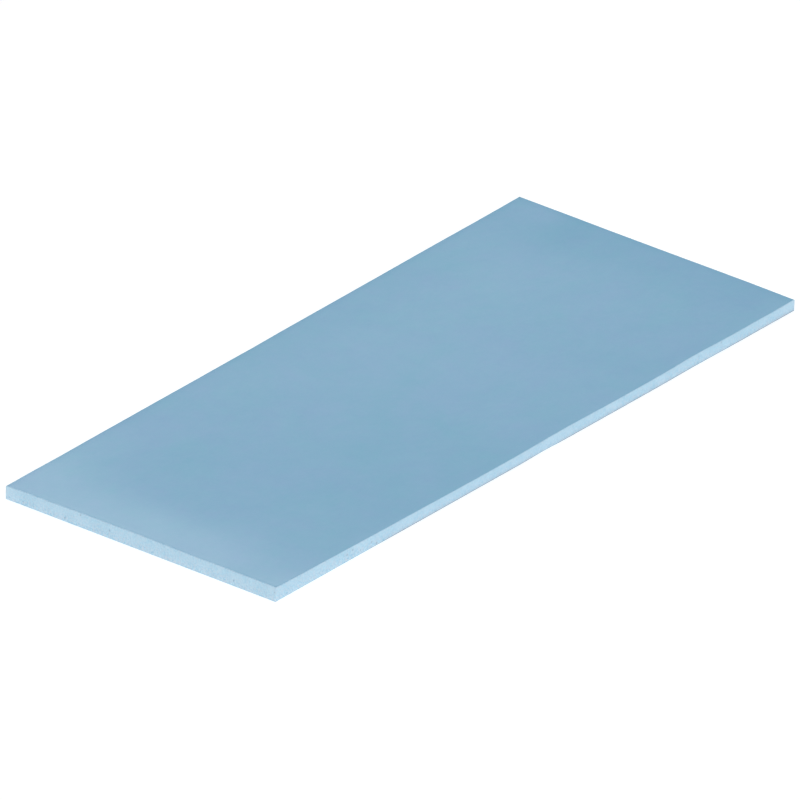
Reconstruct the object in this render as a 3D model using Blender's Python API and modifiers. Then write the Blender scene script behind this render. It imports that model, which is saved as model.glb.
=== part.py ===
"""Thermal pad sheet.

A flat rectangular sheet of soft, ceramic-filled silicone, laid between a hot chip and its heatsink. It is
cast as a single layer and cut to size with a straight blade, so it is one solid piece with two flat faces,
four plain cut sides and square corners. Lengths are in metres. The sheet lies flat: X runs along its long
sides, Y along its short sides, and Z up from the middle of its lower face.
"""

import bpy

# Driving sizes of the sheet
SHEET_LENGTH = 0.080  # along X
SHEET_WIDTH = 0.040  # along Y
SHEET_THICKNESS = 0.0015  # from the lower face to the upper face
CUT_EDGE_RADIUS = 0.00006  # rounding that the blade leaves along every edge of the soft sheet
CUT_EDGE_STEPS = 3  # flats that make up that rounding

# Finish of the filled silicone
SILICONE_BLUE = (0.283, 0.479, 0.631, 1.0)  # pale grey-blue pigment, in linear light
SILICONE_ROUGHNESS = 0.55
SILICONE_METALLIC = 0.0


def clear_scene():
    """Remove every object that the scene starts with."""
    for scene_object in list(bpy.data.objects):
        bpy.data.objects.remove(scene_object, do_unlink=True)


def make_collection(name):
    """Make the collection that holds the sheet."""
    collection = bpy.data.collections.new(name)
    bpy.context.scene.collection.children.link(collection)
    return collection


def move_to_collection(scene_object, collection):
    """Take an object out of its present collections and put it in this one."""
    for present in list(scene_object.users_collection):
        present.objects.unlink(scene_object)
    collection.objects.link(scene_object)


def filled_silicone():
    """Pale blue silicone, loaded with ceramic powder: a dry, satin, non-metallic surface."""
    material = bpy.data.materials.new("filled_silicone")
    material.use_nodes = True
    shader = material.node_tree.nodes["Principled BSDF"]
    shader.inputs["Base Color"].default_value = SILICONE_BLUE
    shader.inputs["Roughness"].default_value = SILICONE_ROUGHNESS
    shader.inputs["Metallic"].default_value = SILICONE_METALLIC
    return material


def thermal_pad_sheet(collection):
    """One rectangular slab on z = 0, centred on the origin, with a small rounding on its cut edges."""
    bpy.ops.mesh.primitive_cube_add(size=1.0, location=(0.0, 0.0, SHEET_THICKNESS / 2))
    sheet = bpy.context.object
    sheet.name = "thermal_pad_sheet"
    sheet.data.name = "thermal_pad_sheet"
    sheet.scale = (SHEET_LENGTH, SHEET_WIDTH, SHEET_THICKNESS)
    bpy.ops.object.transform_apply(location=False, rotation=False, scale=True)
    rounding = sheet.modifiers.new("cut_edges", "BEVEL")
    rounding.width = CUT_EDGE_RADIUS
    rounding.segments = CUT_EDGE_STEPS
    rounding.limit_method = "ANGLE"
    sheet.data.materials.append(filled_silicone())
    move_to_collection(sheet, collection)
    return sheet


clear_scene()
thermal_pad_sheet(make_collection("Thermal pad sheet"))
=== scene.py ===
"""Thermal pad sheet, dressed for its portrait.

One sheet of soft, ceramic-filled silicone lies flat on a white light table. Its two broad faces were cast
against smooth film. Its four sides were cut with a straight blade, which left them paler and granular.
Lengths are in metres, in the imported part's own frame: X along the long sides, Y along the short sides, Z up.
"""

import math

import bpy
import numpy as np
from mathutils import Matrix, Vector


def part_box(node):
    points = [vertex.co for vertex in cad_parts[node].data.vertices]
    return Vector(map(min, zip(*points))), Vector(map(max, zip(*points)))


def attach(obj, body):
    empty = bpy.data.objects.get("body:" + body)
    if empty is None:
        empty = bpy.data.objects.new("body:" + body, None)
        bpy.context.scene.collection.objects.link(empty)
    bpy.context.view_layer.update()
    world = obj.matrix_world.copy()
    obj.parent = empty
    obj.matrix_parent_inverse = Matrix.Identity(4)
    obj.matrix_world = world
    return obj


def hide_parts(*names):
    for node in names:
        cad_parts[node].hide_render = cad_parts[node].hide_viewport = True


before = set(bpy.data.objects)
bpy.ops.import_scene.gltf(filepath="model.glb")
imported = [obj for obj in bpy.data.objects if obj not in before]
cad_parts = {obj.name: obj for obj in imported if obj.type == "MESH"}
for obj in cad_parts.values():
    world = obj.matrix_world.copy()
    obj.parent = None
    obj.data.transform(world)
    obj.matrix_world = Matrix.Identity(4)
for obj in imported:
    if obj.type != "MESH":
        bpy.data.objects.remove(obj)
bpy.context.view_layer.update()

MM = 0.001

# The sheet's own sizes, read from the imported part
SHEET_NODE = "thermal_pad_sheet"
sheet_low, sheet_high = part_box(SHEET_NODE)
LENGTH = sheet_high.x - sheet_low.x
WIDTH = sheet_high.y - sheet_low.y
THICKNESS = sheet_high.z - sheet_low.z

# How finely the surface is divided
FACE_CELLS_LONG = 160  # cells of the broad faces along X, about 0.5 mm each
FACE_CELLS_SHORT = 80  # cells of the broad faces along Y
RIM_STEPS = 6  # steps of the cut outline beside each cell of a broad face
SIDE_ROWS = 14  # rows of faces down a cut side
ROUND_ROWS = 3  # rows of faces round each rim and each foot
FACE_MARGIN = 0.45 * MM  # from the rim to the first line of a broad face's grid

# The cut outline
RIM_RADIUS = 0.07 * MM  # how far the blade draws the skin down at the rim
RIM_SHOULDER = 0.04 * MM  # a ring this far inside the rim keeps the broad face flat up to it
RIM_SKIN = 0.6  # share of the cast skin's colour at the top of the rim's rounding
RIM_SKIN_FADE = 1.5  # the power by which it falls round the rounding
FOOT_RADIUS = 0.02 * MM
CUT_ALLOWANCE = 0.03 * MM  # the blade ran this far outside the nominal outline
WIDTH_TAPER = 0.0107  # the far end was cut wider than the middle by this share, and the near end narrower
# From the rim to the foot, because the soft sheet moved under the blade
FOOT_SHIFT = (-0.156 * MM, 0.125 * MM)

# Camera: the photograph's viewing angle through a very long lens, which keeps parallel edges parallel
VIEW_AZIMUTH = math.radians(-44.30)  # 0 looks along +Y
VIEW_ELEVATION = math.radians(27.82)
VIEW_ROLL = math.radians(-4.94)
CAMERA_DISTANCE = 3.5456
LENS_MM = 1500.0
SENSOR_MM = 36.0
AIM_POINT = Vector((0.582 * MM, 0.616 * MM, 0.0))
CLIP_NEAR = 0.1
CLIP_FAR = 20.0


def view_axes(azimuth, elevation, roll):
    """Right, up and backward directions of a camera that looks at the origin, rolled about its axis."""
    backward = Vector((
        math.sin(azimuth) * math.cos(elevation),
        -math.cos(azimuth) * math.cos(elevation),
        math.sin(elevation),
    ))
    level_right = Vector((math.cos(azimuth), math.sin(azimuth), 0.0))
    level_up = backward.cross(level_right)
    right = math.cos(roll) * level_right + math.sin(roll) * level_up
    up = math.cos(roll) * level_up - math.sin(roll) * level_right
    return right, up, backward


def place_camera():
    """The portrait camera, at its distance from the aim point along the photograph's line of sight."""
    right, up, backward = view_axes(VIEW_AZIMUTH, VIEW_ELEVATION, VIEW_ROLL)
    lens = bpy.data.cameras.new("portrait_camera")
    lens.lens = LENS_MM
    lens.sensor_width = SENSOR_MM
    lens.clip_start = CLIP_NEAR
    lens.clip_end = CLIP_FAR
    camera = bpy.data.objects.new("portrait_camera", lens)
    turn = Matrix((right, up, backward)).transposed().to_4x4()
    camera.matrix_world = Matrix.Translation(AIM_POINT + CAMERA_DISTANCE * backward) @ turn
    bpy.context.scene.collection.objects.link(camera)
    bpy.context.scene.camera = camera


place_camera()


# Helpers for surfaces

def smooth_step(value, start, end):
    """0 before start, 1 after end, and 3t^2 - 2t^3 between them. Start may be the larger number."""
    t = np.clip((value - start) / (end - start), 0.0, 1.0)
    return t * t * (3.0 - 2.0 * t)


def soft_ramp(value, softness):
    """Softness * log(1 + exp(value / softness)): near 0 well below 0, and near the value well above it."""
    return softness * np.logaddexp(0.0, value / softness)


def sum_of_bells(value, bells):
    """Sum of the bells height * exp(-distance^2 / width^2), each given as its place, width and height."""
    return sum(height * np.exp(-(((value - place) / width) ** 2)) for place, width, height in bells)


def lattice_noise(u, v, cells_u, seed):
    """Smooth noise in -1..1 from one random number at each point of a unit lattice.

    Between lattice points it is blended with the smooth step's cubic. It repeats after cells_u along u, so
    it closes round the outline without a seam. Only the rows of points that v spans are drawn, so calls
    whose spans differ get numbers of their own.
    """
    v_low = int(np.floor(v.min()))
    v_count = int(np.floor(v.max())) - v_low + 2
    values = np.random.default_rng(seed).uniform(-1.0, 1.0, (cells_u, v_count))
    u_cell = np.floor(u).astype(int)
    v_cell = np.floor(v).astype(int)
    u_blend = smooth_step(u - u_cell, 0.0, 1.0)
    v_blend = smooth_step(v - v_cell, 0.0, 1.0)
    row = v_cell - v_low
    left = u_cell % cells_u
    right = (u_cell + 1) % cells_u
    low = values[left, row] * (1.0 - u_blend) + values[right, row] * u_blend
    high = values[left, row + 1] * (1.0 - u_blend) + values[right, row + 1] * u_blend
    return low * (1.0 - v_blend) + high * v_blend


def make_mesh(name, points, quads, triangles, quad_material, triangle_material):
    """A mesh from arrays of points, quads and triangles, each face with a material number."""
    mesh = bpy.data.meshes.new(name)
    corners = np.concatenate([quads.ravel(), triangles.ravel()]).astype(np.int32)
    sizes = np.concatenate([np.full(len(quads), 4), np.full(len(triangles), 3)])
    starts = np.concatenate([[0], np.cumsum(sizes)[:-1]]).astype(np.int32)
    materials = np.concatenate([quad_material, triangle_material]).astype(np.int32)
    mesh.vertices.add(len(points))
    mesh.vertices.foreach_set("co", points.astype(np.float32).ravel())
    mesh.loops.add(len(corners))
    mesh.loops.foreach_set("vertex_index", corners)
    mesh.polygons.add(len(sizes))
    mesh.polygons.foreach_set("loop_start", starts)
    mesh.polygons.foreach_set("material_index", materials)
    mesh.polygons.foreach_set("use_smooth", np.ones(len(sizes), bool))
    mesh.update(calc_edges=True)
    mesh.validate()
    return mesh


# The sheet's surface

NEAR_LIP_SLOPE = 0.030  # the near cut end stands proud and slopes down into the sheet
NEAR_LIP_REACH = 5.2 * MM
NEAR_LIP_NOTCH = (0.0, 6.0 * MM, 1.6 * MM)  # narrower at the right corner: where, how wide, by how much
NEAR_LIP_BEND = 1.5 * MM  # softness of the bend at the foot of that slope
NEAR_LIP_LEFT = 0.6  # share of the lip that is left at the left long side
NEAR_LIP_FADE_START = 24.0 * MM  # across the sheet from the right long side, where the lip begins to fade
# Slopes down to the left long side, or up to it where negative: where along it, how wide, how steep
LEFT_FALLS = ((11.0 * MM, 9.0 * MM, 0.013), (60.0 * MM, 23.0 * MM, -0.009))
LEFT_FALL_REACH = 5.0 * MM
LEFT_FALL_BEND = 2.5 * MM
NEAR_SWELL = 0.07 * MM  # the casting is a little thick at its near end
NEAR_SWELL_REACH = 12.0 * MM
RIGHT_DIP = 0.10 * MM  # the right long side is a little thin past its near end
RIGHT_DIP_START = (0.0, 20.0 * MM)  # along the sheet, from where to where it comes in
RIGHT_DIP_END = (55.0 * MM, 75.0 * MM)  # from where to where it fades
RIGHT_DIP_LEFT = 0.3  # share of the dip that is left at the far end
FAR_THINNING = 0.195 * MM  # the casting thins slowly towards the far end
FAR_THINNING_START = 10.0 * MM
FAR_LIP_SLOPE = 0.0143  # the far cut end rises a little
FAR_LIP_REACH = 7.0 * MM
FAR_LIP_BEND = 1.5 * MM
# Where that rise is more or less: where across the sheet, how wide, by what share
FAR_LIP_CRESTS = ((0.0, 6.0 * MM, -0.5), (32.0 * MM, 4.0 * MM, 0.24), (40.0 * MM, 5.0 * MM, -0.22))
BACK_RIM_SLOPE = 0.020  # the blade drew the skin up a hair at the left and far rims
BACK_RIM_REACH = 0.36 * MM
BACK_RIM_BEND = 0.10 * MM
RIPPLE_SIZES = ((14.0 * MM, 0.006 * MM), (6.0 * MM, 0.003 * MM), (2.5 * MM, 0.0012 * MM))  # width, height
RIPPLE_CELLS = 200  # lattice cells before a ripple repeats, more than the sheet is long
RIPPLE_MIDDLE = 50.0  # the place of the sheet's middle on the lattice
RIPPLE_SEED = 11


def upper_face_height(x, y):
    """Height of the upper face over the lower one at a place on the sheet.

    The nominal thickness, plus a lip that slopes down from the near cut end and fades towards the left
    long side, less the slopes down to that side, plus a swelling exp(-distance / reach) at the near end,
    less a dip that grows as the square of the nearness to the right long side, less a slow thinning
    towards the far end, plus a small uneven rise at that end and at the two back rims, plus slow ripples
    of the casting film. Each lip, fall and rim is a slope times a soft ramp of how far its reach goes on.
    """
    from_near = x + LENGTH / 2
    from_far = LENGTH / 2 - x
    across = y + WIDTH / 2
    from_left = WIDTH / 2 - y
    near_lip_reach = NEAR_LIP_REACH - sum_of_bells(across, (NEAR_LIP_NOTCH,))
    near_lip = NEAR_LIP_SLOPE * soft_ramp(near_lip_reach - from_near, NEAR_LIP_BEND)
    near_lip = near_lip * (1.0 - (1.0 - NEAR_LIP_LEFT) * smooth_step(across, NEAR_LIP_FADE_START, WIDTH))
    left_fall = sum_of_bells(from_near, LEFT_FALLS) * soft_ramp(LEFT_FALL_REACH - from_left, LEFT_FALL_BEND)
    near_swell = NEAR_SWELL * np.exp(-from_near / NEAR_SWELL_REACH)
    dip_along = smooth_step(from_near, *RIGHT_DIP_START)
    dip_along = dip_along * (1.0 - (1.0 - RIGHT_DIP_LEFT) * smooth_step(from_near, *RIGHT_DIP_END))
    dip = RIGHT_DIP * dip_along * (1.0 - across / WIDTH) ** 2
    thinning = FAR_THINNING * smooth_step(from_near, FAR_THINNING_START, LENGTH)
    far_lip = FAR_LIP_SLOPE * soft_ramp(FAR_LIP_REACH - from_far, FAR_LIP_BEND)
    far_lip = far_lip * (1.0 + sum_of_bells(across, FAR_LIP_CRESTS))
    left_rim = BACK_RIM_SLOPE * soft_ramp(BACK_RIM_REACH - from_left, BACK_RIM_BEND)
    far_rim = BACK_RIM_SLOPE * soft_ramp(BACK_RIM_REACH - from_far, BACK_RIM_BEND)
    height = THICKNESS + near_lip - left_fall + near_swell - dip - thinning + far_lip + left_rim + far_rim
    for index, (width, rise) in enumerate(RIPPLE_SIZES):
        lattice_x = x / width + RIPPLE_MIDDLE
        lattice_y = y / width + RIPPLE_MIDDLE
        height = height + rise * lattice_noise(lattice_x, lattice_y, RIPPLE_CELLS, RIPPLE_SEED + index)
    return height


# Bulges of a rim or a foot past the straight cut, inward where negative: how far along, how wide, how far
RIGHT_RIM_BULGES = (
    (7.0 * MM, 6.5 * MM, -0.085 * MM),
    (26.0 * MM, 4.5 * MM, 0.04 * MM),
    (33.0 * MM, 6.0 * MM, 0.11 * MM),
    (37.0 * MM, 2.5 * MM, 0.035 * MM),
    (45.0 * MM, 4.0 * MM, -0.07 * MM),
    (64.5 * MM, 3.5 * MM, -0.15 * MM),
    (77.0 * MM, 2.0 * MM, 0.03 * MM),
)
LEFT_RIM_BULGES = (
    (0.0, 3.0 * MM, -0.14 * MM),
    (13.0 * MM, 4.0 * MM, 0.035 * MM),
    (29.0 * MM, 9.0 * MM, -0.07 * MM),
    (38.5 * MM, 3.0 * MM, -0.04 * MM),
    (67.0 * MM, 10.0 * MM, 0.08 * MM),
)
NEAR_RIM_BULGES = (
    (2.0 * MM, 3.0 * MM, -0.06 * MM),
    (8.5 * MM, 2.0 * MM, -0.04 * MM),
    (12.0 * MM, 2.5 * MM, 0.04 * MM),
    (20.0 * MM, 3.5 * MM, -0.05 * MM),
    (33.0 * MM, 3.0 * MM, 0.07 * MM),
    (40.0 * MM, 2.8 * MM, 0.14 * MM),
)
FAR_RIM_BULGES = (
    (0.0, 2.5 * MM, -0.04 * MM),
    (12.0 * MM, 20.0 * MM, -0.03 * MM),
    (39.0 * MM, 6.0 * MM, 0.09 * MM),
)
RIGHT_FOOT_BULGES = (
    (41.0 * MM, 2.0 * MM, -0.08 * MM),
    (60.0 * MM, 28.0 * MM, 0.04 * MM),
    (64.5 * MM, 3.5 * MM, -0.06 * MM),
)
LEFT_FOOT_BULGES = ((0.0, 3.0 * MM, -0.07 * MM),)
BULGE_REACH = 3.0 * MM  # a bulge fades out over this distance into the sheet


def cut_plan(x, y, share):
    """Where a place of the nominal rectangle lies on the cut sheet, for a share of the height.

    Its distance from the middle line grows evenly along the sheet, and it moves by the foot's shift between
    the rim, at share 1, and the foot, at share 0. Near a side it also moves out by the cut's allowance and
    that side's bulges. Long sides are measured from the near end, short ones from the right long side.
    """
    along = x + LENGTH / 2
    across = y + WIDTH / 2
    near_part = smooth_step(along, BULGE_REACH, 0.0)
    far_part = smooth_step(LENGTH - along, BULGE_REACH, 0.0)
    right_part = smooth_step(across, BULGE_REACH, 0.0)
    left_part = smooth_step(WIDTH - across, BULGE_REACH, 0.0)
    right_out = sum_of_bells(along, RIGHT_RIM_BULGES) * share
    right_out = right_out + sum_of_bells(along, RIGHT_FOOT_BULGES) * (1.0 - share)
    left_out = sum_of_bells(along, LEFT_RIM_BULGES) * share
    left_out = left_out + sum_of_bells(along, LEFT_FOOT_BULGES) * (1.0 - share)
    near_out = sum_of_bells(across, NEAR_RIM_BULGES) * share
    far_out = sum_of_bells(across, FAR_RIM_BULGES) * share
    bulge_x = (far_out + CUT_ALLOWANCE) * far_part - (near_out + CUT_ALLOWANCE) * near_part
    bulge_y = (left_out + CUT_ALLOWANCE) * left_part - (right_out + CUT_ALLOWANCE) * right_part
    drift = 0.5 - share
    tapered_y = y * (1.0 + WIDTH_TAPER * x / (LENGTH / 2))
    return x + bulge_x + drift * FOOT_SHIFT[0], tapered_y + bulge_y + drift * FOOT_SHIFT[1]


def cut_outline():
    """The sheet's outline as a ring of points, counter-clockwise from its near right corner.

    Each side is divided evenly. With each point goes the outward direction of its side, and at a corner the
    sum of the two sides' directions, so that an inset along it keeps the outline rectangular.
    """
    long_steps = FACE_CELLS_LONG * RIM_STEPS
    short_steps = FACE_CELLS_SHORT * RIM_STEPS
    long_share = np.arange(long_steps) / long_steps - 0.5
    short_share = np.arange(short_steps) / short_steps - 0.5
    half_for_long = np.full(long_steps, 0.5)
    half_for_short = np.full(short_steps, 0.5)
    x_share = np.concatenate([long_share, half_for_short, -long_share, -half_for_short])
    y_share = np.concatenate([-half_for_long, short_share, half_for_long, -short_share])
    outward_x = (x_share == 0.5).astype(float) - (x_share == -0.5)
    outward_y = (y_share == 0.5).astype(float) - (y_share == -0.5)
    return x_share * LENGTH, y_share * WIDTH, outward_x, outward_y


# What the blade left on the cut sides, and the shade painted on them
GRAIN_SIZES = ((0.60 * MM, 0.005 * MM), (0.26 * MM, 0.003 * MM), (0.13 * MM, 0.002 * MM))  # width, height
GRAIN_SEED = 31
PIT_COUNT = 26
PIT_WIDTH = 0.09 * MM
PIT_DEPTH = 0.05 * MM
PIT_SCALES = (0.5, 1.2)  # the smallest and the largest pit, as shares of that width and depth
PIT_LEVELS = (0.15, 0.85)  # how far down the side pits lie, as shares of the thickness
PIT_SEED = 5
PITS_AT_FAR = 0.4  # share of a pit's painted shade on the far stretch of the right long side
TORN_HEIGHTS = (0.2 * MM, 1.1 * MM)  # the blade tore the grain most below the first, least above the second
TORN_AT_RIM = 0.5  # share of the tearing that is left there
TORN_AT_ENDS = 0.9  # share of it on the two short sides
TORN_AT_FAR = 0.7  # share of it past the near stretch of the right long side
FAR_STRETCH = (12.0 * MM, 20.0 * MM)  # along the right long side, from where to where that stretch begins
# Painted shade: a grey line on the foot where the sheet meets the table, and on the far stretch of the right
# long side a film of it that fades upwards
SHADE_GAPS = ((42.0 * MM, 2.0 * MM, -0.6), (67.0 * MM, 3.5 * MM, -0.4))  # where, how wide, change in the painted shade
SHADE_FILM = 0.17  # painted shade where the foot meets the table; a film of it above adds this share of its grey
SHADE_FILM_HEIGHTS = (0.10 * MM, 0.65 * MM)  # the film fades out from the first height to the second
SHADE_VEIL = 0.02  # share of the painted shade's grey over the whole height of the far stretch


def side_section():
    """The section down a cut side, from rim to foot: inset, share of height, lift, skin and painted shade.

    A shoulder on the broad face, a quarter round, a straight drop, a quarter round and a shoulder. A row's
    height is its share of the upper face's height, plus its lift. Skin, the share of the cast skin's colour,
    falls from 1 to 0 round the rim. Painted shade, where the sheet meets the table, is full on the foot's
    rounding, and a film of it fades to a faint veil above it.
    """
    turn = np.linspace(0.0, math.pi / 2, ROUND_ROWS + 1)
    drop = np.linspace(0.0, 1.0, SIDE_ROWS + 1)[1:-1]
    round_inset = 1.0 - np.sin(turn)
    round_fall = 1.0 - np.cos(turn)
    none_on_drop = np.zeros(len(drop))
    none_on_round = np.zeros(len(turn))
    inset = np.concatenate([
        [RIM_RADIUS + RIM_SHOULDER], RIM_RADIUS * round_inset, none_on_drop,
        FOOT_RADIUS * round_inset[::-1], [FOOT_RADIUS + RIM_SHOULDER],
    ])
    share = np.concatenate([[1.0], np.ones(len(turn)), 1.0 - drop, none_on_round, [0.0]])
    sink = RIM_RADIUS * np.concatenate([[0.0], round_fall, 1.0 - drop, none_on_round, [0.0]])
    rise = FOOT_RADIUS * np.concatenate([[0.0], none_on_round, drop, round_fall[::-1], [0.0]])
    rim_skin = RIM_SKIN * (1.0 - turn / turn[-1]) ** RIM_SKIN_FADE
    skin = np.concatenate([[1.0], rim_skin, none_on_drop, none_on_round, [0.0]])
    painted_shade = SHADE_FILM * (1.0 - smooth_step(share * THICKNESS + rise - sink, *SHADE_FILM_HEIGHTS)) + SHADE_VEIL
    foot_rows = len(turn) + 1
    painted_shade[-foot_rows:] = 1.0
    return inset[:, None], share[:, None], (rise - sink)[:, None], skin, painted_shade


def side_relief(run, depth, perimeter):
    """Height of the cut side over its plane, and how deep each place lies in a pit, 1 being the usual depth.

    The grain is smooth noise of three sizes. A pit is a round dimple, exp(-distance^2 / width^2) times its
    scale, at a place drawn by chance.
    """
    relief = np.zeros_like(run)
    for index, (width, rise) in enumerate(GRAIN_SIZES):
        cells = int(round(perimeter / width))
        relief += rise * lattice_noise(run / perimeter * cells, depth / width, cells, GRAIN_SEED + index)
    chance = np.random.default_rng(PIT_SEED)
    pit_run = chance.uniform(0.0, perimeter, PIT_COUNT)
    pit_depth = chance.uniform(*PIT_LEVELS, PIT_COUNT) * THICKNESS
    pit_scale = chance.uniform(*PIT_SCALES, PIT_COUNT)
    hollow = np.zeros_like(run)
    for place, level, scale in zip(pit_run, pit_depth, pit_scale):
        away = np.abs(run - place)
        away = np.minimum(away, perimeter - away)
        distance_squared = away ** 2 + (depth - level) ** 2
        hollow = np.maximum(hollow, scale * np.exp(-distance_squared / (PIT_WIDTH * scale) ** 2))
    return relief - PIT_DEPTH * hollow, hollow


def broad_face_grid(x_low, x_high, y_low, y_high):
    """Places of an even grid, one row of X values for each Y value."""
    x = np.linspace(x_low, x_high, FACE_CELLS_LONG + 1)
    y = np.linspace(y_low, y_high, FACE_CELLS_SHORT + 1)
    return np.meshgrid(x, y)


def grid_quads(first):
    """The grid's cells as four point numbers each, from a first one on, counter-clockwise seen from +Z."""
    column, row = np.meshgrid(np.arange(FACE_CELLS_LONG), np.arange(FACE_CELLS_SHORT))
    corner = (first + row * (FACE_CELLS_LONG + 1) + column).ravel()
    above = corner + FACE_CELLS_LONG + 1
    return np.stack([corner, corner + 1, above + 1, above], 1)


def grid_border(first):
    """Point numbers round the grid's border, counter-clockwise from its lowest corner, each once."""
    across = FACE_CELLS_LONG + 1
    bottom = np.arange(FACE_CELLS_LONG)
    right = FACE_CELLS_LONG + across * np.arange(FACE_CELLS_SHORT)
    top = across * FACE_CELLS_SHORT + FACE_CELLS_LONG - np.arange(FACE_CELLS_LONG)
    left = across * (FACE_CELLS_SHORT - np.arange(FACE_CELLS_SHORT))
    return first + np.concatenate([bottom, right, top, left])


def join_rim_to_grid(rim, border):
    """Triangles between the fine rim and the coarse border, one for each rim step and each border edge.

    The first half of a cell's rim steps meet the border edge's first point, the other half its second
    point, and one triangle lies between them. Counter-clockwise seen from the rim's outer side up.
    """
    cells = np.arange(len(border))
    start = border[cells]
    end = border[(cells + 1) % len(border)]
    half = RIM_STEPS // 2
    made = [np.stack([start, rim[cells * RIM_STEPS + half], end], 1)]
    for step in range(RIM_STEPS):
        here = rim[cells * RIM_STEPS + step]
        following = rim[(cells * RIM_STEPS + step + 1) % len(rim)]
        hub = start if step < half else end
        made.append(np.stack([here, following, hub], 1))
    return np.concatenate(made)


def side_marks(x, outward_y, height, hollow, skin, painted_shade):
    """How far each mark shows on the cut sides, from 0 to 1 or a little more in a pit, row by row downwards.

    Tearing falls from 1 low down to its share at the rim, and is less on the short sides and on the far
    stretch of the right long side. The pits' painted shade shows less on that stretch too. Only that
    stretch has painted shade on its side, and less of it in the shade's gaps.
    """
    along = x + LENGTH / 2
    far_stretch = (outward_y < 0.0) * smooth_step(along, *FAR_STRETCH)
    torn = 1.0 - (1.0 - TORN_AT_RIM) * smooth_step(height, *TORN_HEIGHTS)
    torn = torn * (1.0 - (1.0 - TORN_AT_ENDS) * (outward_y == 0.0))
    return {
        "pit_shade": hollow * (1.0 - (1.0 - PITS_AT_FAR) * far_stretch),
        "skin": np.repeat(skin, len(x)),
        "torn": torn * (1.0 - (1.0 - TORN_AT_FAR) * far_stretch),
        "painted_shade": np.outer(painted_shade, far_stretch * (1.0 + sum_of_bells(along, SHADE_GAPS))),
    }


def silicone_sheet():
    """The whole sheet as one closed surface: two broad faces, the cut sides between them, and a soft rim.

    Each row of the sides is the outline moved out by the relief and in by the section's inset. All places
    then go through the cut plan.
    """
    x, y, outward_x, outward_y = cut_outline()
    inset, share, lift, skin, painted_shade = side_section()
    rows, around = len(inset), len(x)
    perimeter = 2.0 * (LENGTH + WIDTH)
    run = np.broadcast_to(np.arange(around) / around * perimeter, (rows, around))
    relief, hollow = side_relief(run, (1.0 - share) * THICKNESS - lift, perimeter)
    out = relief - inset
    side_x, side_y = cut_plan(x + out * outward_x, y + out * outward_y, share)
    side_z = upper_face_height(x + out * outward_x, y + out * outward_y) * share + lift
    side_points = np.stack([side_x, side_y, side_z], -1).reshape(-1, 3)

    x_half = LENGTH / 2 - FACE_MARGIN
    y_half = WIDTH / 2 - FACE_MARGIN
    grid_x, grid_y = broad_face_grid(-x_half, x_half, -y_half, y_half)
    upper = np.stack([*cut_plan(grid_x, grid_y, 1.0), upper_face_height(grid_x, grid_y)], -1).reshape(-1, 3)
    lower = np.stack([*cut_plan(grid_x, grid_y, 0.0), np.zeros_like(grid_x)], -1).reshape(-1, 3)
    points = np.concatenate([side_points, upper, lower])
    upper_first = len(side_points)
    lower_first = upper_first + len(upper)

    number = np.arange(rows * around).reshape(rows, around)
    following = np.roll(number, -1, axis=1)
    side_quads = np.stack([number[1:], following[1:], following[:-1], number[:-1]], -1).reshape(-1, 4)
    upper_quads = grid_quads(upper_first)
    lower_quads = grid_quads(lower_first)[:, ::-1]
    upper_join = join_rim_to_grid(number[0], grid_border(upper_first))
    lower_join = join_rim_to_grid(number[-1], grid_border(lower_first))[:, ::-1]
    quads = np.concatenate([side_quads, upper_quads, lower_quads])
    triangles = np.concatenate([upper_join, lower_join])
    is_cut = np.concatenate([np.ones(len(side_quads)), np.zeros(len(upper_quads) + len(lower_quads))])
    mesh = make_mesh("silicone_sheet", points, quads, triangles, is_cut, np.zeros(len(triangles)))

    marks = side_marks(x, outward_y, share * THICKNESS + lift, hollow, skin, painted_shade)
    on_faces = np.zeros(len(upper) + len(lower))
    for name, value in marks.items():
        attribute = mesh.attributes.new(name, "FLOAT", "POINT")
        attribute.data.foreach_set("value", np.concatenate([value.ravel(), on_faces]))
    sheet = bpy.data.objects.new("silicone_sheet", mesh)
    bpy.context.scene.collection.objects.link(sheet)
    return sheet


# Materials

def linear(hex_colour):
    """An sRGB hex colour as linear light, with full opacity."""
    coded = [int(hex_colour[i:i + 2], 16) / 255.0 for i in (0, 2, 4)]
    return tuple(c / 12.92 if c <= 0.04045 else ((c + 0.055) / 1.055) ** 2.4 for c in coded) + (1.0,)


def node(tree, kind, settings=None, links=None):
    """One node of a kind, with its settings, and its sockets set to a value or linked from another."""
    made = tree.nodes.new(kind)
    for name, value in (settings or {}).items():
        setattr(made, name, value)
    for socket, value in (links or {}).items():
        if isinstance(value, bpy.types.NodeSocket):
            tree.links.new(value, made.inputs[socket])
        else:
            made.inputs[socket].default_value = value
    return made


def new_material(name):
    """A material whose tree of nodes is still empty, and that tree."""
    material = bpy.data.materials.new(name)
    material.use_nodes = True
    tree = material.node_tree
    tree.nodes.clear()
    return material, tree


SILICONE_IOR = 1.43
NOISE_LOW = 0.30  # most of a noise node's values lie between these two
NOISE_HIGH = 0.70
# A mix node's colour sockets, by number, since its sockets for other kinds of value have the same names
UNDER = 6
OVER = 7
MIXED = 2


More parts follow.
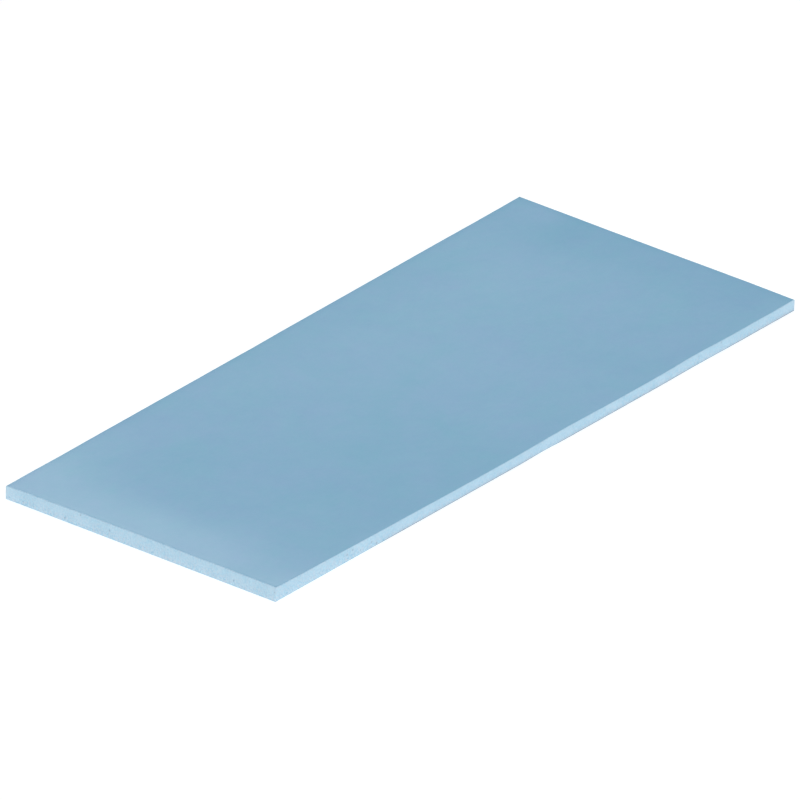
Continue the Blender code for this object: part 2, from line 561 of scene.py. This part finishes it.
def cast_silicone_face():
    """Filled silicone cast against smooth film: even grey-blue, satin, with faint clouds of filler.

    The eye sees a calm matt-blue plane that takes a soft sheen at a low angle. The clouds of tint are
    9 mm wide and the paler streaks between them 4 mm. The filler's grains are too fine to show, so they
    are drawn 0.2 mm wide. All are close in colour to the ground.
    """
    material, tree = new_material("cast_silicone_face")
    place = node(tree, "ShaderNodeTexCoord").outputs["Object"]
    clouds = node(tree, "ShaderNodeTexNoise", {}, {
        "Vector": place, "Scale": 1.0 / (9.0 * MM), "Detail": 5.0, "Roughness": 0.75})
    grains = node(tree, "ShaderNodeTexNoise", {}, {
        "Vector": place, "Scale": 1.0 / (0.20 * MM), "Detail": 1.0, "Roughness": 0.5})
    cloud_share = node(tree, "ShaderNodeMapRange", {}, {
        "Value": clouds.outputs["Fac"], "From Min": NOISE_LOW, "From Max": NOISE_HIGH})
    ground = node(tree, "ShaderNodeMix", {"data_type": "RGBA"}, {
        "Factor": cloud_share.outputs["Result"], UNDER: linear("68A6C3"), OVER: linear("70A1C6")})
    streaks = node(tree, "ShaderNodeTexNoise", {}, {
        "Vector": place, "Scale": 1.0 / (4.0 * MM), "Detail": 3.0, "Roughness": 0.8})
    streak_share = node(tree, "ShaderNodeMapRange", {}, {
        "Value": streaks.outputs["Fac"], "From Min": NOISE_LOW, "From Max": NOISE_HIGH, "To Max": 0.18})
    streaked = node(tree, "ShaderNodeMix", {"data_type": "RGBA"}, {
        "Factor": streak_share.outputs["Result"], UNDER: ground.outputs[MIXED], OVER: linear("80B2CE")})
    grain_share = node(tree, "ShaderNodeMapRange", {}, {
        "Value": grains.outputs["Fac"], "From Min": NOISE_LOW, "From Max": NOISE_HIGH, "To Max": 0.08})
    colour = node(tree, "ShaderNodeMix", {"data_type": "RGBA"}, {
        "Factor": grain_share.outputs["Result"], UNDER: streaked.outputs[MIXED], OVER: linear("80B2CE")})
    roughness = node(tree, "ShaderNodeMapRange", {}, {
        "Value": clouds.outputs["Fac"], "From Min": NOISE_LOW, "From Max": NOISE_HIGH,
        "To Min": 0.14, "To Max": 0.16})
    bump = node(tree, "ShaderNodeBump", {}, {
        "Strength": 0.1, "Distance": 0.01 * MM, "Height": grains.outputs["Fac"]})
    shader = node(tree, "ShaderNodeBsdfPrincipled", {}, {
        "Base Color": colour.outputs[MIXED], "Roughness": roughness.outputs["Result"], "IOR": SILICONE_IOR,
        "Normal": bump.outputs["Normal"]})
    node(tree, "ShaderNodeOutputMaterial", {}, {"Surface": shader.outputs["BSDF"]})
    return material


def knife_cut_silicone():
    """Filled silicone laid open by a blade: paler, dry and granular, with small dark pits.

    The eye sees a chalky pale blue, matt, and speckled, some of it deeper blue and some greyer, most low
    down, where the blade tore the filler out. The filler's grains are too fine to show, so the speckles
    are drawn 0.22 and 0.26 mm wide. Paler patches 2 mm wide lie over them. Round the rim it keeps the cast
    face's colour and gloss. Shade is painted dark into the pits, and grey along stretches of the foot.
    """
    material, tree = new_material("knife_cut_silicone")
    place = node(tree, "ShaderNodeTexCoord").outputs["Object"]
    grains = node(tree, "ShaderNodeTexNoise", {}, {
        "Vector": place, "Scale": 1.0 / (0.22 * MM), "Detail": 1.0, "Roughness": 0.6})
    tints = node(tree, "ShaderNodeTexNoise", {}, {
        "Vector": place, "Scale": 1.0 / (0.26 * MM), "Detail": 1.0, "Roughness": 0.6})
    patches = node(tree, "ShaderNodeTexNoise", {}, {
        "Vector": place, "Scale": 1.0 / (2.0 * MM), "Detail": 1.0, "Roughness": 0.5})
    grain_share = node(tree, "ShaderNodeMapRange", {}, {
        "Value": grains.outputs["Fac"], "From Min": NOISE_LOW, "From Max": NOISE_HIGH})
    ground = node(tree, "ShaderNodeMix", {"data_type": "RGBA"}, {
        "Factor": grain_share.outputs["Result"], UNDER: linear("8AB9D3"), OVER: linear("BADAE9")})
    tint_share = node(tree, "ShaderNodeMapRange", {}, {
        "Value": tints.outputs["Fac"], "From Min": 0.40, "From Max": 0.65, "To Max": 0.70})
    tinted = node(tree, "ShaderNodeMix", {"data_type": "RGBA"}, {
        "Factor": tint_share.outputs["Result"], UNDER: ground.outputs[MIXED], OVER: linear("C2CBD9")})
    torn = node(tree, "ShaderNodeAttribute", {"attribute_name": "torn"})
    speckled = node(tree, "ShaderNodeMix", {"data_type": "RGBA"}, {
        "Factor": torn.outputs["Fac"], UNDER: linear("A8CCE0"), OVER: tinted.outputs[MIXED]})
    patch_share = node(tree, "ShaderNodeMapRange", {}, {
        "Value": patches.outputs["Fac"], "From Min": NOISE_LOW, "From Max": NOISE_HIGH, "To Max": 0.18})
    patched = node(tree, "ShaderNodeMix", {"data_type": "RGBA"}, {
        "Factor": patch_share.outputs["Result"], UNDER: speckled.outputs[MIXED], OVER: linear("D0E3F1")})
    # Painted shade in the pits, darkest where the dimple is deepest
    pit_shade = node(tree, "ShaderNodeAttribute", {"attribute_name": "pit_shade"})
    pit_shaded = node(tree, "ShaderNodeMix", {"data_type": "RGBA"}, {
        "Factor": pit_shade.outputs["Fac"], UNDER: patched.outputs[MIXED], OVER: linear("7C9AB0")})
    # Shade painted grey on the foot where the sheet meets the table, and faintly up the far stretch
    painted_shade = node(tree, "ShaderNodeAttribute", {"attribute_name": "painted_shade"})
    shade_painted = node(tree, "ShaderNodeMix", {"data_type": "RGBA"}, {
        "Factor": painted_shade.outputs["Fac"], UNDER: pit_shaded.outputs[MIXED], OVER: linear("868894")})
    skin = node(tree, "ShaderNodeAttribute", {"attribute_name": "skin"})
    colour = node(tree, "ShaderNodeMix", {"data_type": "RGBA"}, {
        "Factor": skin.outputs["Fac"], UNDER: shade_painted.outputs[MIXED], OVER: linear("6EA5C5")})
    roughness = node(tree, "ShaderNodeMapRange", {}, {
        "Value": skin.outputs["Fac"], "To Min": 0.85, "To Max": 0.15})
    bump = node(tree, "ShaderNodeBump", {}, {
        "Strength": 0.15, "Distance": 0.03 * MM, "Height": grains.outputs["Fac"]})
    shader = node(tree, "ShaderNodeBsdfPrincipled", {}, {
        "Base Color": colour.outputs[MIXED], "Roughness": roughness.outputs["Result"], "IOR": SILICONE_IOR,
        "Normal": bump.outputs["Normal"]})
    node(tree, "ShaderNodeOutputMaterial", {}, {"Surface": shader.outputs["BSDF"]})
    return material


sheet = silicone_sheet()
sheet.data.materials.append(cast_silicone_face())
sheet.data.materials.append(knife_cut_silicone())
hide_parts(SHEET_NODE)
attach(sheet, "root")


# The table, the white surround and the two lamps

TABLE_SIZE = 6.0
TABLE_GLOW = 0.21  # brightness of the light from below
GLOW_BY_SHEET = 0.33  # the table glows more where the sheet keeps the room's light off it
GLOW_REACH = 5.0 * MM
SKY_LOW = 0.8  # brightness of the white surround near the horizon
SKY_HIGH = 0.7  # brightness overhead
SKY_BEND = (0.2, 0.5)  # heights, as the sine of the elevation, between which one turns into the other
# A vector node's two sockets, by number, since both have the same name
FIRST = 0
SECOND = 1


def light_table():
    """A white acrylic table, lit from below, which leaves no shadow round the sheet.

    Its glow falls evenly with the distance from the sheet's rectangle, the length of (|x| - half the length,
    |y| - half the width) with negative parts taken as 0.
    """
    material, tree = new_material("white_table_acrylic")
    place = node(tree, "ShaderNodeTexCoord").outputs["Object"]
    from_middle = node(tree, "ShaderNodeVectorMath", {"operation": "ABSOLUTE"}, {FIRST: place})
    past_rim = node(tree, "ShaderNodeVectorMath", {"operation": "SUBTRACT"}, {
        FIRST: from_middle.outputs["Vector"], SECOND: (LENGTH / 2, WIDTH / 2, 0.0)})
    outside = node(tree, "ShaderNodeVectorMath", {"operation": "MAXIMUM"}, {
        FIRST: past_rim.outputs["Vector"], SECOND: (0.0, 0.0, 0.0)})
    distance = node(tree, "ShaderNodeVectorMath", {"operation": "LENGTH"}, {
        FIRST: outside.outputs["Vector"]})
    glow = node(tree, "ShaderNodeMapRange", {}, {
        "Value": distance.outputs["Value"], "From Min": 0.0, "From Max": GLOW_REACH,
        "To Min": GLOW_BY_SHEET, "To Max": TABLE_GLOW})
    shader = node(tree, "ShaderNodeBsdfPrincipled", {}, {
        "Base Color": linear("F4F4F4"), "Roughness": 0.9, "Specular IOR Level": 0.0,
        "Emission Color": (1.0, 1.0, 1.0, 1.0), "Emission Strength": glow.outputs["Result"]})
    node(tree, "ShaderNodeOutputMaterial", {}, {"Surface": shader.outputs["BSDF"]})
    half = TABLE_SIZE / 2
    corners = [(-half, -half, 0.0), (half, -half, 0.0), (half, half, 0.0), (-half, half, 0.0)]
    mesh = bpy.data.meshes.new("light_table")
    mesh.from_pydata(corners, [], [(0, 1, 2, 3)])
    mesh.materials.append(material)
    table = bpy.data.objects.new("light_table", mesh)
    bpy.context.scene.collection.objects.link(table)


def white_surround():
    """A plain white surround, brightest low down, as a lit white sweep is.

    Its brightness is a smooth step from the low one to the high one with the sine of the elevation.
    """
    world = bpy.data.worlds.new("white_surround")
    world.use_nodes = True
    tree = world.node_tree
    tree.nodes.clear()
    direction = node(tree, "ShaderNodeTexCoord").outputs["Generated"]
    height = node(tree, "ShaderNodeSeparateXYZ", {}, {"Vector": direction}).outputs["Z"]
    strength = node(tree, "ShaderNodeMapRange", {"interpolation_type": "SMOOTHSTEP"}, {
        "Value": height, "From Min": SKY_BEND[0], "From Max": SKY_BEND[1],
        "To Min": SKY_LOW, "To Max": SKY_HIGH})
    glow = node(tree, "ShaderNodeBackground", {}, {
        "Color": (1.0, 1.0, 1.0, 1.0), "Strength": strength.outputs["Result"]})
    node(tree, "ShaderNodeOutputWorld", {}, {"Surface": glow.outputs["Background"]})
    bpy.context.scene.world = world


def soft_lamp(name, azimuth, elevation, distance, width, height, brightness):
    """A soft box that faces the sheet from a direction, not seen by the camera itself.

    Its power is its brightness times its area times pi, so the brightness compares with the surround's.
    """
    lamp = bpy.data.lights.new(name, "AREA")
    lamp.shape = "RECTANGLE"
    lamp.size = width
    lamp.size_y = height
    lamp.energy = brightness * width * height * math.pi
    right, up, backward = view_axes(math.radians(azimuth), math.radians(elevation), 0.0)
    box = bpy.data.objects.new(name, lamp)
    turn = Matrix((right, up, backward)).transposed().to_4x4()
    box.matrix_world = Matrix.Translation(distance * backward) @ turn
    box.visible_camera = False
    bpy.context.scene.collection.objects.link(box)


light_table()
white_surround()
soft_lamp(
    "front_soft_box", azimuth=-37.0, elevation=30.0, distance=1.6, width=1.0, height=1.0, brightness=2.65)
soft_lamp(
    "rear_strip_box", azimuth=135.7, elevation=18.0, distance=3.0, width=3.0, height=0.95, brightness=1.6)
bpy.context.scene.view_settings.view_transform = "Standard"
